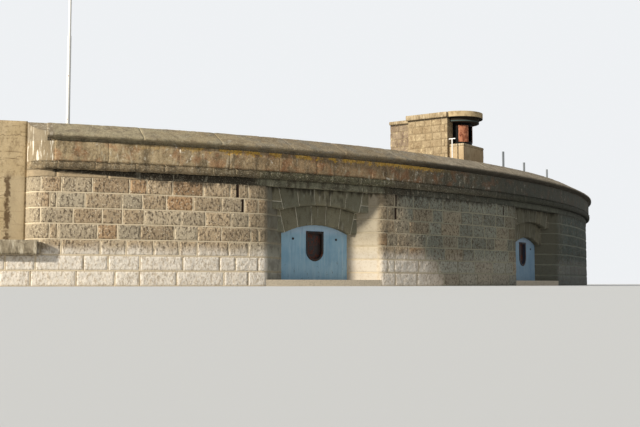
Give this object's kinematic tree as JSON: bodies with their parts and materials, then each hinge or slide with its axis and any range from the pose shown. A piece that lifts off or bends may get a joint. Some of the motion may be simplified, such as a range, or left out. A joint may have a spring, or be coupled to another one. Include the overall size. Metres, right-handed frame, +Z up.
{
  "type": "curved granite coastal battery, scale model at 1:2",
  "caption": "Curved granite fort wall with shielded gun embrasures under stepped arches, a roof lookout and a flagpole, as a scale model at 1:2.",
  "frame": {"origin": "middle of the footprint, at ground level", "axes": "+Z up, the embrasures face -Y, +X along the chord of the curved wall"},
  "size_m": [28.9824, 9.1666, 7.3625],
  "materials": {
    "granite": "rock faced, in courses, weathered",
    "dressed_granite": "fine axed, weathered",
    "coping_stone": "smooth, lichened",
    "parapet_stone": "stained with lichen and lime",
    "render": "rough cast render, weathered",
    "roof_concrete": "floated, weathered",
    "floor_concrete": "floated, worn",
    "lookout_render": "mottled paint on concrete",
    "shield_paint": "faded pale blue paint with streaks",
    "rusty_plate": "rusted",
    "rusty_steel": "rusted, old paint",
    "white_paint": "gloss white, weathered",
    "grey_paint": "weathered grey"
  },
  "bodies": {
    "root": {"coping": "coping_stone", "cordon": "dressed_granite", "embrasure_sills": "dressed_granite", "end_ledge_left": "dressed_granite", "end_ledge_right": "dressed_granite", "end_pier_left": "render", "end_pier_right": "render", "end_plinth_left": "granite", "end_plinth_right": "granite", "end_wall_left": "granite", "end_wall_right": "granite", "flagpole": "white_paint", "floor_slab": "floor_concrete", "front_wall_1": "granite", "front_wall_2": "granite", "front_wall_3": "granite", "front_wall_4": "granite", "handrail": "white_paint", "inner_arch_1": "dressed_granite", "inner_arch_2": "dressed_granite", "inner_arch_3": "dressed_granite", "lintel_band": "dressed_granite", "lookout_base": "lookout_render", "lookout_bow_roof": "lookout_render", "lookout_drum": "rusty_steel", "lookout_rear_block": "lookout_render", "lookout_rear_slab": "lookout_render", "lookout_shutters": "rusty_steel", "lookout_tower": "lookout_render", "lookout_tower_slab": "lookout_render", "outer_arch_1": "dressed_granite", "outer_arch_2": "dressed_granite", "outer_arch_3": "dressed_granite", "parapet": "parapet_stone", "parapet_posts": "grey_paint", "port_plates": "rusty_plate", "rear_arch_1": "dressed_granite", "rear_arch_2": "dressed_granite", "rear_arch_3": "dressed_granite", "rear_wall_1": "granite", "rear_wall_2": "granite", "rear_wall_3": "granite", "rear_wall_4": "granite", "roof_slab": "roof_concrete", "shield_1": "shield_paint", "shield_2": "shield_paint", "shield_3": "shield_paint"}
  },
  "joints": []
}
